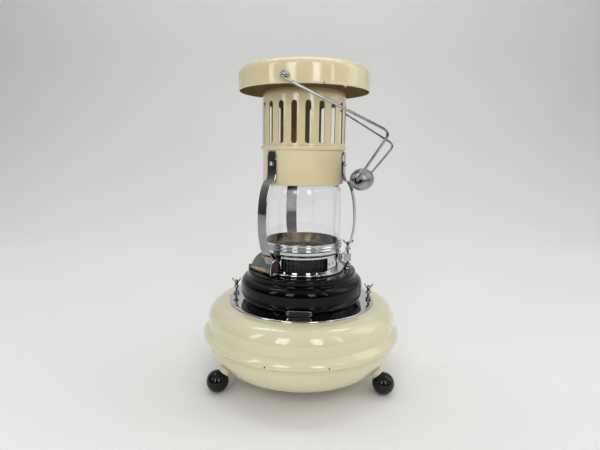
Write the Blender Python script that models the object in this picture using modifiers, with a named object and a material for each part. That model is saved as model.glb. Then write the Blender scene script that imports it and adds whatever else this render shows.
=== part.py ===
"""Wick-type paraffin space heater: a squat round tank on three ball feet, a black burner housing,
a glass chimney in a cage of three straps, a slotted casing, and a cap with a swinging bail.

Units are metres, +Z is up, and the origin is on the floor below the tank's centre. -Y is the front.
"""

import math

import bmesh
import bpy
from mathutils import Matrix, Vector

MM = 0.001
GAP = 0.3 * MM
ROUND = 24  # sides of a large turned part
SMALL = 12  # sides of a small turned part

# Driving dimensions
TANK_R = 142.0 * MM
TANK_WALL = 1.2 * MM
TANK_BOTTOM_Z = 20.0 * MM
TANK_TOP_Z = 119.8 * MM
SEAM_Z = 77.0 * MM
BAND_R = 150.0 * MM
BALL_R = 16.0 * MM
FOOT_RING_R = 138.0 * MM
FOOT_ANGLES = (90.0, 210.0, 330.0)
DISC_R = 110.5 * MM
DISC_TOP_Z = 121.9 * MM
HOUSING_R = 92.5 * MM
HOUSING_TOP_Z = 168.5 * MM
STEP_R = 82.0 * MM
GALLERY_R = 56.2 * MM
GALLERY_TOP_Z = 195.3 * MM
GLASS_R = 57.6 * MM
GLASS_WALL = 2.2 * MM
GLASS_SHOULDER_Z = 284.0 * MM
CASING_R = 60.7 * MM
CASING_BOTTOM_Z = 296.6 * MM
CASING_TOP_Z = 430.5 * MM
SLOT_COUNT = 20
SLOT_WIDTH = 8.0 * MM
SLOT_LOW_Z = 355.0 * MM
SLOT_HIGH_Z = 412.0 * MM
SLOT_TURN = 5.0
CAP_R = 94.5 * MM
CAP_LIP_Z = 428.0 * MM
CAP_EDGE_R = 12.0 * MM
CAP_TOP_Z = 462.0 * MM
SHEET = 1.2 * MM
STRAP_ANGLES = {"strap_back": 104.0, "strap_left": 224.0, "strap_right": 344.0}
STRAP_WIDTH = 18.0 * MM
STRAP_THICK = 1.5 * MM
WIRE_R = 1.7 * MM
BAIL_TURN = 15.0  # how far the bail's axis is turned from the Y axis, in degrees
BAIL_Z = 438.0 * MM
BAIL_HALF = 99.4 * MM
BAIL_TWIST = 5.0  # the far arm hangs this much lower, in degrees
BAIL_CORNER = (132.5 * MM, -70.0 * MM)
BAIL_END = (94.5 * MM, -128.5 * MM)
GRIP_R = 16.0 * MM
HINGE_ANGLE = 218.0
HINGE_DISTANCE = 67.5 * MM
HINGE_Z = 171.8 * MM
HINGE_MIDDLE = 11.5 * MM
LEAF_R = 27.0 * MM
LEAF_LEAN = 20.0
LATCH_ANGLE = -3.0
LATCH_R = 70.0 * MM
SHAFT_ANGLE = 60.0
SHAFT_Z = 145.0 * MM
PINION_TEETH = 10
PINION_PITCH_R = 5.0 * MM
FILLER_ANGLE = 130.0
FILLER_TILT = 35.0
SCREW_ANGLES = {"thumbscrew_right": -6.0, "thumbscrew_left": 174.0}
SCREW_R = 103.0 * MM


def clear_scene():
    for old in list(bpy.data.objects):
        bpy.data.objects.remove(old, do_unlink=True)


clear_scene()
PARTS = bpy.data.collections.new("paraffin_heater")
CUTTERS = bpy.data.collections.new("cutters")
for collection in (PARTS, CUTTERS):
    bpy.context.scene.collection.children.link(collection)


def material(name, colour, roughness, metallic):
    made = bpy.data.materials.new(name)
    made.use_nodes = True
    shader = made.node_tree.nodes["Principled BSDF"]
    shader.inputs["Base Color"].default_value = (*colour, 1.0)
    shader.inputs["Roughness"].default_value = roughness
    shader.inputs["Metallic"].default_value = metallic
    return made


CREAM = material("cream_enamel", (0.72, 0.66, 0.44), 0.25, 0.0)
BLACK = material("black_enamel", (0.01, 0.01, 0.012), 0.12, 0.0)
CHROME = material("chrome", (0.75, 0.76, 0.78), 0.12, 1.0)
STEEL = material("dull_steel", (0.32, 0.32, 0.31), 0.4, 1.0)
BRASS = material("brass", (0.72, 0.55, 0.28), 0.3, 1.0)
GLASS = material("glass", (0.95, 0.97, 0.96), 0.03, 0.0)
WICK = material("wick_cotton", (0.75, 0.7, 0.6), 0.9, 0.0)
OXIDE = material("red_oxide", (0.2, 0.03, 0.02), 0.45, 0.0)


# Placing and making


def radial(angle, radius, z=0.0):
    turn = math.radians(angle)
    return Vector((radius * math.cos(turn), radius * math.sin(turn), z))


def frame_at(origin, x_axis, z_axis):
    """A matrix with its origin at a point, its Z along z_axis and its X as near x_axis as it can be."""
    z = Vector(z_axis).normalized()
    y = z.cross(Vector(x_axis)).normalized()
    x = y.cross(z)
    return Matrix.Translation(origin) @ Matrix((x, y, z)).transposed().to_4x4()


def add(name, mesh, look, place=None):
    made = bpy.data.objects.new(name, mesh)
    if look is None:
        CUTTERS.objects.link(made)
        made.hide_render = True
        made.display_type = "WIRE"
    else:
        PARTS.objects.link(made)
        mesh.materials.append(look)
    if place is not None:
        made.matrix_world = place
    return made


def turned(name, outline, look, steps=ROUND, place=None):
    """Spins an outline of (radius, height) about Z. It runs down its outer side, and it is closed unless
    it starts on the axis."""
    mesh = bpy.data.meshes.new(name)
    count = len(outline)
    edges = [(i, i + 1) for i in range(count - 1)]
    if outline[0][0] > 0:
        edges.append((count - 1, 0))
    mesh.from_pydata([(r, 0.0, z) for r, z in outline], edges, [])
    made = add(name, mesh, look, place)
    screw = made.modifiers.new("spin", "SCREW")
    screw.steps = steps
    screw.render_steps = steps
    screw.use_merge_vertices = True
    screw.merge_threshold = 0.00001
    screw.use_smooth_shade = look is not None
    return made


def box(name, low, high, look, place=None):
    shape = bmesh.new()
    bmesh.ops.create_cube(shape, size=1.0)
    low, high = Vector(low), Vector(high)
    bmesh.ops.scale(shape, vec=high - low, verts=shape.verts)
    bmesh.ops.translate(shape, vec=(low + high) / 2, verts=shape.verts)
    mesh = bpy.data.meshes.new(name)
    shape.to_mesh(mesh)
    shape.free()
    return add(name, mesh, look, place)


def rod(name, radius, low, high, look, place=None, sides=SMALL):
    """A cylinder along the local Z, from low to high."""
    return turned(name, [(0.0, high), (radius, high), (radius, low), (0.0, low)], look, sides, place)


def plate(name, outline, thickness, look, place=None):
    """A flat outline in the local XY plane, thickened both ways along Z."""
    curve = bpy.data.curves.new(name, "CURVE")
    curve.dimensions = "2D"
    curve.fill_mode = "BOTH"
    curve.extrude = thickness / 2
    spline = curve.splines.new("POLY")
    spline.points.add(len(outline) - 1)
    for point, (x, y) in zip(spline.points, outline):
        point.co = (x, y, 0.0, 1.0)
    spline.use_cyclic_u = True
    return as_mesh(name, curve, look, place)


def as_mesh(name, curve, look, place):
    """Turns a curve into a closed mesh, so that a Boolean can cut or join it."""
    guide = bpy.data.objects.new(name + "_guide", curve)
    CUTTERS.objects.link(guide)
    if place is not None:
        guide.matrix_world = place
    bpy.context.view_layer.update()
    solid = guide.evaluated_get(bpy.context.evaluated_depsgraph_get())
    mesh = bpy.data.meshes.new_from_object(solid)
    shape = bmesh.new()
    shape.from_mesh(mesh)
    bmesh.ops.remove_doubles(shape, verts=shape.verts, dist=0.000005)
    bmesh.ops.recalc_face_normals(shape, faces=shape.faces)
    shape.to_mesh(mesh)
    shape.free()
    matrix = guide.matrix_world.copy()
    bpy.data.objects.remove(guide)
    return add(name, mesh, look, matrix)


def wire(name, points, radius, look, place=None):
    curve = bpy.data.curves.new(name, "CURVE")
    curve.dimensions = "3D"
    curve.bevel_depth = radius
    curve.bevel_resolution = 1
    curve.use_fill_caps = True
    spline = curve.splines.new("POLY")
    spline.points.add(len(points) - 1)
    for point, co in zip(spline.points, points):
        point.co = (*co, 1.0)
    return as_mesh(name, curve, look, place)


def combine(target, other, operation):
    step = target.modifiers.new(operation.lower(), "BOOLEAN")
    step.operation = operation
    step.object = other
    return target


def arc(centre, radii, start, end, steps):
    """Points of an elliptical arc, in the outline's (radius, height)."""
    points = []
    for i in range(steps + 1):
        turn = math.radians(start + (end - start) * i / steps)
        points.append((centre[0] + radii[0] * math.cos(turn), centre[1] + radii[1] * math.sin(turn)))
    return points


# Tank and feet


def bowl_arc(grow, start, end, steps=5):
    """The lower shell's curve, between its wall and its flat floor."""
    flat_r, start_z = 90.0 * MM, 62.0 * MM
    depth = start_z - TANK_BOTTOM_Z
    return arc((flat_r, start_z), (TANK_R - flat_r + grow, depth + grow), start, end, steps)


def shoulder_arc(grow, start, end, steps=4):
    corner = 24.0 * MM
    centre = (TANK_R - corner, TANK_TOP_Z - corner)
    return arc(centre, (corner + grow, corner + grow), start, end, steps)


def make_tank():
    tube_hole = 40.3 * MM
    burner_hole = 52.0 * MM
    inside_r = TANK_R - TANK_WALL
    lower = [(TANK_R, SEAM_Z - GAP / 2)] + bowl_arc(0, 0, -90)
    lower += [(tube_hole, TANK_BOTTOM_Z), (tube_hole, TANK_BOTTOM_Z + TANK_WALL)]
    lower += bowl_arc(-TANK_WALL, -90, 0) + [(inside_r, SEAM_Z - GAP / 2)]
    turned("tank_lower", lower, CREAM)
    upper = [(burner_hole, TANK_TOP_Z)] + shoulder_arc(0, 90, 0) + [(TANK_R, SEAM_Z + GAP / 2)]
    upper += [(inside_r, SEAM_Z + GAP / 2)] + shoulder_arc(-TANK_WALL, 0, 90)
    upper += [(burner_hole, TANK_TOP_Z - TANK_WALL)]
    tank_upper = turned("tank_upper", upper, CREAM)
    combine(tank_upper, rod("filler_hole", 10.3 * MM, -20 * MM, 20 * MM, None, filler_frame()), "DIFFERENCE")
    low, high, inner = 69.0 * MM, 85.0 * MM, TANK_R + GAP
    round_in = 3.5 * MM
    band = [(inner, high), (BAND_R - round_in, high), (BAND_R - 0.5 * MM, high - 2.5 * MM)]
    band += [(BAND_R, (low + high) / 2), (BAND_R - 0.5 * MM, low + 2.5 * MM)]
    band += [(BAND_R - round_in, low), (inner, low)]
    turned("seam_band", band, CREAM)


def filler_frame():
    """The filler neck's frame, its Z out of the tank's shoulder."""
    corner = 24.0 * MM
    lift = math.radians(90 - FILLER_TILT)
    radius = TANK_R - corner + corner * math.cos(lift)
    height = TANK_TOP_Z - corner + corner * math.sin(lift)
    out = radial(FILLER_ANGLE, math.cos(lift), math.sin(lift))
    return frame_at(radial(FILLER_ANGLE, radius, height), (0, 0, 1), out)


def make_filler():
    bore, wall, top = 8.5 * MM, 1.5 * MM, 7.0 * MM
    neck = [(bore, top), (bore + wall, top), (bore + wall, -4 * MM), (bore, -4 * MM)]
    turned("filler_neck", neck, CREAM, SMALL, filler_frame())
    cap_r, skirt_z, roof = 12.5 * MM, 2.5 * MM, 9.5 * MM
    outline = [(0, roof), (cap_r - 1.5 * MM, roof), (cap_r, roof - 1.5 * MM), (cap_r, skirt_z)]
    outline += [(bore + wall + GAP, skirt_z), (bore + wall + GAP, top + GAP), (0, top + GAP)]
    turned("filler_cap", outline, CHROME, SMALL, filler_frame())


def make_feet():
    centre_z = 15.5 * MM
    flat = math.degrees(math.asin(centre_z / BALL_R))
    ball_outline = [(0, centre_z + BALL_R)] + arc((0, centre_z), (BALL_R, BALL_R), 65, -flat, 6) + [(0, 0)]
    tank_skin = [(0, 90 * MM), (TANK_R + GAP, 90 * MM)] + bowl_arc(GAP, 0, -90, 8)
    tank_skin += [(0, TANK_BOTTOM_Z - GAP)]
    keep_off_tank = turned("keep_off_tank", tank_skin, None, 48)
    for number, angle in enumerate(FOOT_ANGLES, 1):
        centre = radial(angle, FOOT_RING_R, centre_z)
        turned(f"foot_ball_{number}", ball_outline, BLACK, 16, Matrix.Translation(radial(angle, FOOT_RING_R)))
        lean = math.radians(48)
        up = radial(angle, -math.cos(lean), math.sin(lean))
        place = frame_at(centre, (0, 0, 1), up)
        cone = [(0, 26 * MM), (12 * MM, 26 * MM), (7.5 * MM, 11 * MM), (0, 11 * MM)]
        neck = turned(f"foot_neck_{number}", cone, CREAM, SMALL, place)
        keep_off_ball = bmesh.new()
        bmesh.ops.create_uvsphere(keep_off_ball, u_segments=16, v_segments=10, radius=BALL_R + 2 * GAP)
        mesh = bpy.data.meshes.new("keep_off_ball")
        keep_off_ball.to_mesh(mesh)
        keep_off_ball.free()
        combine(neck, add("keep_off_ball", mesh, None, Matrix.Translation(centre)), "DIFFERENCE")
        combine(neck, keep_off_tank, "DIFFERENCE")


# Burner


def shaft_frame():
    """The wick shaft's frame, its Z outwards along the shaft and its X up."""
    return frame_at(Vector((0, 0, SHAFT_Z)), (0, 0, 1), radial(SHAFT_ANGLE, 1))


def make_housing():
    disc = [(52 * MM, DISC_TOP_Z), (DISC_R - 1 * MM, DISC_TOP_Z), (DISC_R, DISC_TOP_Z - 0.7 * MM)]
    disc += [(DISC_R, TANK_TOP_Z + GAP), (52 * MM, TANK_TOP_Z + GAP)]
    turned("burner_disc", disc, CHROME)
    foot_z = DISC_TOP_Z + GAP
    wall = 1.5 * MM
    hole = 54.8 * MM
    step_z, belly_z = 158.5 * MM, 147.5 * MM
    outer = [(hole, HOUSING_TOP_Z), (STEP_R - 2.2 * MM, HOUSING_TOP_Z), (STEP_R, HOUSING_TOP_Z - 2.2 * MM)]
    outer += [(STEP_R, step_z + 1 * MM), (STEP_R + 1.5 * MM, step_z)]
    outer += arc((STEP_R + 2 * MM, belly_z), (HOUSING_R - STEP_R - 2 * MM, step_z - belly_z - 1 * MM), 75, 0, 3)
    outer += [(HOUSING_R, 137 * MM), (90.5 * MM, 128.5 * MM), (86 * MM, foot_z)]
    inner = [(84.4 * MM, foot_z), (89 * MM, 129 * MM), (HOUSING_R - wall, 137 * MM)]
    inner += arc((STEP_R, belly_z), (HOUSING_R - STEP_R - wall, step_z - belly_z - 2.5 * MM), 0, 75, 3)
    inner += [(STEP_R - wall, step_z - 1 * MM), (STEP_R - wall, HOUSING_TOP_Z - 2.8 * MM)]
    inner += [(STEP_R - 2.8 * MM, HOUSING_TOP_Z - wall), (hole, HOUSING_TOP_Z - wall)]
    housing = turned("burner_housing", outer + inner, BLACK)
    combine(housing, rod("shaft_bearing", 1.75 * MM, 80 * MM, 100 * MM, None, shaft_frame()), "DIFFERENCE")
    badge_z, badge_r = 127.0 * MM, 93.2 * MM
    end = arc((13.0 * MM, 0), (4.6 * MM, 4.6 * MM), -90, 90, 5)
    outline = end + [(-x, y) for x, y in reversed(end)]
    lean = frame_at(radial(268.0, badge_r, badge_z), (1, 0, 0), radial(268.0, 1.0, -0.35))
    plate("badge_plate", outline, 1.0 * MM, CHROME, lean)


def make_gallery():
    flange = [(54.8 * MM, 172 * MM), (62.4 * MM, 172 * MM), (64.0 * MM, 171.2 * MM), (64.4 * MM, 170.2 * MM)]
    low = HOUSING_TOP_Z + GAP
    turned("gallery_flange", flange + [(64.0 * MM, low), (54.8 * MM, low)], CHROME)
    inner, foot_z = GALLERY_R - SHEET, 172 * MM + GAP
    wall = [(inner, GALLERY_TOP_Z), (GALLERY_R, GALLERY_TOP_Z), (GALLERY_R, foot_z), (inner, foot_z)]
    gallery = turned("gallery_wall", wall, CHROME)
    window = box("window_cut", (-30 * MM, -70 * MM, 173.3 * MM), (37 * MM, -10 * MM, 192.8 * MM), None)
    combine(gallery, window, "DIFFERENCE")


def make_burner():
    low, ledge, outside, hole = DISC_TOP_Z + GAP, 171.5 * MM, 54.2 * MM, 45.6 * MM
    body = [(hole, ledge), (outside, ledge), (outside, low), (outside - 1.4 * MM, low)]
    body += [(outside - 1.4 * MM, ledge - 1.5 * MM), (hole, ledge - 1.5 * MM)]
    burner = turned("burner_body", body, BRASS, 24)
    combine(burner, rod("shaft_hole", 2.3 * MM, 45 * MM, 60 * MM, None, shaft_frame(), 12), "DIFFERENCE")
    drum = [(48 * MM, 198 * MM), (48.8 * MM, 198 * MM), (48.8 * MM, ledge + GAP), (48 * MM, ledge + GAP)]
    turned("flame_drum", drum, STEEL, 24)
    roof, base, r = 198 * MM, 160 * MM, 38.2 * MM
    spreader = [(0, roof), (33 * MM, roof - 1 * MM), (r, roof - 7 * MM), (r, base), (r - SHEET, base)]
    spreader += [(r - SHEET, roof - 8 * MM), (32 * MM, roof - 2.2 * MM), (0, roof - SHEET)]
    turned("flame_spreader", spreader, STEEL, 24)


def tube(name, inner, outer, low, high, look):
    return turned(name, [(inner, high), (outer, high), (outer, low), (inner, low)], look, 24)


def make_wick():
    tube("draught_tube", 38.8 * MM, 40 * MM, 18.5 * MM, 176 * MM, BRASS)
    outer = tube("wick_tube", 44 * MM, 45.2 * MM, 62 * MM, 176 * MM, BRASS)
    tube("wick", 40.7 * MM, 43.3 * MM, 80 * MM, 181 * MM, WICK)
    carrier = tube("wick_carrier", 40.7 * MM, 43.3 * MM, 70 * MM, 80 * MM - GAP, BRASS)
    turn = Matrix.Rotation(math.radians(SHAFT_ANGLE), 4, "Z")
    slot = box("slot_cut", (40 * MM, -9.6 * MM, 50 * MM), (50 * MM, -5.7 * MM, 84 * MM), None, turn)
    combine(outer, slot, "DIFFERENCE")
    arm = box("rack_arm", (41.6 * MM, -8.5 * MM, 73.5 * MM), (47.2 * MM - GAP, -6.7 * MM, 77 * MM), None, turn)
    combine(carrier, arm, "UNION")
    make_rack()


def make_rack():
    """The rack's solid. Its outline has the height along X and the distance from the pinion's axis along Y."""
    pitch = 2 * math.pi * PINION_PITCH_R / PINION_TEETH
    tip, root, back = 4.6 * MM, 6.2 * MM, 9.0 * MM
    outline = [(72.5 * MM - SHAFT_Z, back), (72.5 * MM - SHAFT_Z, root)]
    for number in range(-4, 5):
        centre = (number + 0.5) * pitch
        for along, across in ((-0.9, root), (-0.4, tip), (0.4, tip), (0.9, root)):
            outline.append((centre + along * MM, across))
    outline += [(16 * MM, root), (16 * MM, back)]
    place = shaft_frame() @ Matrix.Translation((0, 0, 48.4 * MM))
    plate("wick_rack", outline, 2.4 * MM, BRASS, place)


def make_wick_knob():
    outline = []
    for number in range(PINION_TEETH):
        centre = 90 + number * 360 / PINION_TEETH
        for turn, radius in ((-12, 4.1), (-5, 5.4), (5, 5.4), (12, 4.1)):
            angle = math.radians(centre + turn)
            outline.append((radius * MM * math.cos(angle), radius * MM * math.sin(angle)))
    plate("pinion", outline, 2.4 * MM, BRASS, shaft_frame() @ Matrix.Translation((0, 0, 48.4 * MM)))
    rod("knob_shaft", 1.6 * MM, 49.6 * MM + GAP, 97 * MM, BRASS, shaft_frame(), 12)
    low, high, rim = 97 * MM + GAP, 106 * MM, 13.5 * MM
    knob = [(0, high), (rim - 1.5 * MM, high), (rim, high - 1.5 * MM), (rim, low + 2 * MM)]
    knob += [(rim - 4 * MM, low), (0, low)]
    turned("wick_knob", knob, BLACK, 20, shaft_frame())


# Cage: chimney, casing and cap


def make_glass():
    inner = GLASS_R - GLASS_WALL
    seat_floor = 198.3 * MM
    cup = [(57.9 * MM, 213.4 * MM), (59.6 * MM, 213.4 * MM), (60.0 * MM, 212.2 * MM)]
    for crest in (208.4, 204.6):
        cup += [(58.8 * MM, (crest + 1.9) * MM), (60.2 * MM, crest * MM)]
    cup += [(59.0 * MM, 201.6 * MM), (58.9 * MM, 198.8 * MM), (57.2 * MM, 196.7 * MM), (49.6 * MM, 195.8 * MM)]
    cup += [(49.6 * MM, 197.0 * MM), (54.5 * MM, seat_floor), (57.9 * MM, seat_floor)]
    turned("glass_seat", cup, CHROME)
    top_z, collar_r = 312 * MM, 50.2 * MM
    shoulder = 14.5 * MM
    outer = [(collar_r, top_z), (collar_r, GLASS_SHOULDER_Z + shoulder)]
    outer += arc((GLASS_R - 8 * MM, GLASS_SHOULDER_Z), (8 * MM, shoulder), 90, 0, 4)[2:]
    lining = arc((inner - 7.2 * MM, GLASS_SHOULDER_Z), (7.2 * MM, shoulder - 2 * MM), 0, 90, 4)[:-1]
    lining += [(collar_r - 2 * MM, GLASS_SHOULDER_Z + shoulder - 1 * MM), (collar_r - 2 * MM, top_z)]
    foot = [(GLASS_R, seat_floor + 2 * GAP), (inner, seat_floor + 2 * GAP)]
    turned("glass_chimney", outer + foot + lining, GLASS)


def make_casing():
    shoulder_r = 10.5 * MM
    skirt_r, bead_r = 60.0 * MM, 63.2 * MM
    centre = (CASING_R - shoulder_r, CASING_TOP_Z - shoulder_r)
    outer = arc(centre, (shoulder_r, shoulder_r), 90, 0, 4)
    outer += [(CASING_R, 352.5 * MM), (bead_r - 0.5 * MM, 351.2 * MM), (bead_r, 349 * MM)]
    outer += [(bead_r - 0.5 * MM, 346.8 * MM), (skirt_r, 345.5 * MM), (skirt_r, 303 * MM)]
    outer += [(skirt_r - 1 * MM, 298.5 * MM), (skirt_r - 3 * MM, CASING_BOTTOM_Z)]
    inner = [(skirt_r - 4 * MM, CASING_BOTTOM_Z + 1 * MM), (skirt_r - SHEET, 303 * MM)]
    inner += [(skirt_r - SHEET, 346 * MM), (CASING_R - SHEET, 352 * MM)]
    inner += arc(centre, (shoulder_r - SHEET, shoulder_r - SHEET), 0, 90, 4)
    casing = turned("slotted_casing", outer + inner, CREAM, 40)
    half = SLOT_WIDTH / 2
    top = arc((SLOT_HIGH_Z - half, 0), (half, half), -90, 90, 3)
    bottom = arc((SLOT_LOW_Z + half, 0), (half, half), 90, 270, 3)
    for number in range(SLOT_COUNT // 2):
        along = radial(270 + SLOT_TURN + number * 360 / SLOT_COUNT, 1)
        place = frame_at(Vector((0, 0, 0)), (0, 0, 1), along)
        combine(casing, plate(f"slot_{number}", top + bottom, 150 * MM, None, place), "DIFFERENCE")


def make_cap():
    edge = CAP_EDGE_R
    centre = (CAP_R - edge, CAP_TOP_Z - edge)
    lip_r = CAP_R + 0.7 * MM
    outline = [(0, CAP_TOP_Z + 1.5 * MM), (50 * MM, CAP_TOP_Z + 1.0 * MM)]
    outline += arc(centre, (edge, edge), 90, 0, 4)
    outline += [(CAP_R, 431 * MM), (lip_r, 430 * MM), (lip_r, 428.7 * MM), (CAP_R - 0.4 * MM, CAP_LIP_Z)]
    outline += [(CAP_R - 1.8 * MM, 428.6 * MM), (CAP_R - SHEET, 431 * MM)]
    outline += arc(centre, (edge - SHEET, edge - SHEET), 0, 90, 4)
    outline += [(50 * MM, CAP_TOP_Z - 0.2 * MM), (0, CAP_TOP_Z + 0.3 * MM)]
    turned("cap", outline, CREAM, 32)
    for number, angle in enumerate((10.0, 130.0, 250.0), 1):
        place = Matrix.Rotation(math.radians(angle), 4, "Z")
        low = (48.6 * MM, -4.5 * MM, CASING_TOP_Z + GAP)
        box(f"cap_stay_{number}", low, (50.2 * MM, 4.5 * MM, CAP_TOP_Z - 1.6 * MM), CREAM, place)


def strap_path(foot_r):
    """The strap's middle line as (radius, height), from its screw at the casing to its riveted foot."""
    bow_r, bow_z = 79.2 * MM, 248.0 * MM
    top_r = 60.0 * MM + GAP + STRAP_THICK / 2 + 0.2 * MM
    points = [(top_r, 344 * MM), (top_r, 328 * MM), (top_r, 313 * MM), (top_r + 2.2 * MM, 304 * MM)]
    for step in range(1, 9):
        turn = math.pi * step / 8
        if turn <= math.pi / 2:
            swell = math.sin(turn)
            z = 304 * MM + (bow_z - 304 * MM) * (1 - math.cos(turn))
            points.append((top_r + 2.2 * MM + (bow_r - top_r - 2.2 * MM) * swell, z))
        else:
            swell = math.sin(turn) ** 1.15
            z = bow_z + (194 * MM - bow_z) * -math.cos(turn)
            points.append((foot_r + (bow_r - foot_r) * swell, z))
    return points + [(foot_r, 184 * MM)]


def make_straps():
    feet = {"strap_back": 61.2 * MM, "strap_left": 66.2 * MM, "strap_right": 61.2 * MM}
    for name, angle in STRAP_ANGLES.items():
        path = strap_path(feet[name])
        sides = ([], [])
        for i, (r, z) in enumerate(path):
            before, after = path[max(i - 1, 0)], path[min(i + 1, len(path) - 1)]
            along = Vector((after[0] - before[0], after[1] - before[1])).normalized()
            across = Vector((-along.y, along.x)) * STRAP_THICK / 2
            sides[0].append((r + across.x, z + across.y))
            sides[1].append((r - across.x, z - across.y))
        outline = sides[0] + sides[1][::-1]
        out = radial(angle, 1)
        place = frame_at(Vector((0, 0, 0)), out, Vector((0, 0, 1)).cross(out) * -1)
        plate(name, outline, STRAP_WIDTH, CHROME, place)
        where = name.split("_")[1]
        outside = path[1][0] + STRAP_THICK / 2 + GAP
        head = [(0, outside + 3.2 * MM), (2.2 * MM, outside + 2.8 * MM), (3.2 * MM, outside + 1.4 * MM)]
        head += [(3.2 * MM, outside), (0, outside)]
        along = frame_at(Vector((0, 0, 327 * MM)), (0, 0, 1), out)
        turned(f"strap_screw_{where}", head, STEEL, 12, along)
        outside = feet[name] + STRAP_THICK / 2 + GAP
        stud = [(0, outside + 2 * MM), (1.8 * MM, outside + 1.6 * MM), (2.4 * MM, outside), (0, outside)]
        turned(f"foot_rivet_{where}", stud, BRASS, 12, frame_at(Vector((0, 0, 188.5 * MM)), (0, 0, 1), out))


def make_cage_band():
    inner, low, high = 58.4 * MM, 183.5 * MM, 195.3 * MM
    ring = [(inner, high), (inner + 1 * MM, high), (inner + 1 * MM, low), (inner, low)]
    band = turned("cage_band", ring, CHROME, 40)
    open_side = [(0, 0)] + [tuple(radial(angle, 90 * MM).xy) for angle in (192, 230, 270, 310, 336)]
    cut = plate("band_cut", open_side, 40 * MM, None, Matrix.Translation((0, 0, 190 * MM)))
    combine(band, cut, "DIFFERENCE")


# Hinge and latch of the cage


def hinge_frame():
    """Origin on the hinge pin's axis, Z along the pin to the back, X outwards from the heater."""
    out = radial(HINGE_ANGLE, 1)
    along = radial(HINGE_ANGLE - 90, 1)
    return frame_at(out * HINGE_DISTANCE + Vector((0, 0, HINGE_Z)), out, along)


def make_hinge():
    place = hinge_frame()
    pin_r, knuckle_r = 1.4 * MM, 2.5 * MM
    low, high = HINGE_MIDDLE - 31 * MM, HINGE_MIDDLE + 31 * MM
    head = 3.0 * MM
    pin = [(0, high), (pin_r, high), (pin_r, low - 1.5 * MM), (head, low - 1.6 * MM)]
    pin += [(head, low - 3.4 * MM), (1.6 * MM, low - 5.4 * MM), (0, low - 5.4 * MM)]
    turned("hinge_pin", pin, STEEL, SMALL, place)
    lean = math.radians(LEAF_LEAN)
    upright = Vector((0, 0, 1)) * math.cos(lean) - radial(HINGE_ANGLE, math.sin(lean))
    along = radial(HINGE_ANGLE - 90, 1)
    middle = place.translation + along * HINGE_MIDDLE
    half = arc((0, 0), (LEAF_R, LEAF_R), 0, 180, 12)
    base = 3.4 * MM
    outline = [(LEAF_R - 0.2 * MM, base)] + half[1:-1] + [(-LEAF_R + 0.2 * MM, base)]
    leaf_place = frame_at(middle, along, along.cross(upright))
    leaf = plate("hinge_leaf", outline, SHEET, STEEL, leaf_place)
    for number, (start, end) in enumerate(((-26.0, -16.2), (16.2, 26.0))):
        low_corner = (start * MM + 0.1 * MM, 1.9 * MM, -SHEET * 0.7)
        tab = box(f"tab_{number}", low_corner, (end * MM - 0.1 * MM, 5.0 * MM, SHEET * 0.7), None, leaf_place)
        combine(leaf, tab, "UNION")
        ring = [(1.6 * MM, end * MM), (knuckle_r, end * MM), (knuckle_r, start * MM), (1.6 * MM, start * MM)]
        ring = [(r, z + HINGE_MIDDLE) for r, z in ring]
        combine(leaf, turned(f"knuckle_{number}", ring, None, SMALL, place), "UNION")
    coils, half_length = 9, 15.2 * MM
    outside = []
    for i in range(2 * coils + 1):
        z = half_length - i * half_length / coils
        outside.append((2.7 * MM if i % 2 else 2.2 * MM, HINGE_MIDDLE + z))
    inside = [(1.6 * MM, HINGE_MIDDLE - half_length), (1.6 * MM, HINGE_MIDDLE + half_length)]
    turned("hinge_spring", outside + inside, BRASS, 12, place)
    for number, along_pin in enumerate((14.5, 7.5), 1):
        height = 17.5 * MM / math.cos(lean)
        spot = place.translation + along * along_pin * MM + upright * height
        stud = [(0, 2.2 * MM), (1.6 * MM, 1.8 * MM), (2.0 * MM, SHEET / 2 + GAP), (0, SHEET / 2 + GAP)]
        turned(f"leaf_rivet_{number}", stud, BRASS, 12, frame_at(spot, along, along.cross(upright) * -1))


def make_hinge_lugs():
    """The front cheek reaches from the pin up to the gallery wall, and the rear lug only holds the pin."""
    place = hinge_frame()
    corner = 12.0 * MM
    top_z, out_x = 193.0 * MM - HINGE_Z, 4.2 * MM
    low_z = HOUSING_TOP_Z + GAP - HINGE_Z
    in_x = -3.0 * MM
    cheek = [(in_x, low_z), (out_x, low_z)]
    cheek += arc((out_x - corner, top_z - corner), (corner, corner), 0, 75, 5)
    cheek += [(in_x - 5.5 * MM, top_z - 2 * MM), (in_x - 5.5 * MM, 2.5 * MM), (in_x, 0.9 * MM)]
    front = HINGE_MIDDLE - 31.8 * MM
    along = place.to_3x3().col[2]
    out = place.to_3x3().col[0]
    spot = frame_at(place.translation + along * front, out, out.cross(Vector((0, 0, 1))))
    made = plate("hinge_cheek", cheek, 1.2 * MM, OXIDE, spot)
    combine(made, rod("cheek_bore", 1.7 * MM, front - 5 * MM, front + 5 * MM, None, place), "DIFFERENCE")
    rear = HINGE_MIDDLE + 28.6 * MM
    lug = [(-3 * MM, low_z), (3 * MM, low_z)] + arc((0, 0.5 * MM), (3 * MM, 3 * MM), 0, 180, 6)
    spot = frame_at(place.translation + along * rear, out, out.cross(Vector((0, 0, 1))))
    made = plate("hinge_lug", lug, 1.6 * MM, STEEL, spot)
    combine(made, rod("lug_bore", 1.6 * MM, rear - 5 * MM, rear + 5 * MM, None, place), "DIFFERENCE")


def latch_frame(z=0.0):
    return frame_at(radial(LATCH_ANGLE, LATCH_R, z), radial(LATCH_ANGLE, 1), (0, 0, 1))


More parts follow.
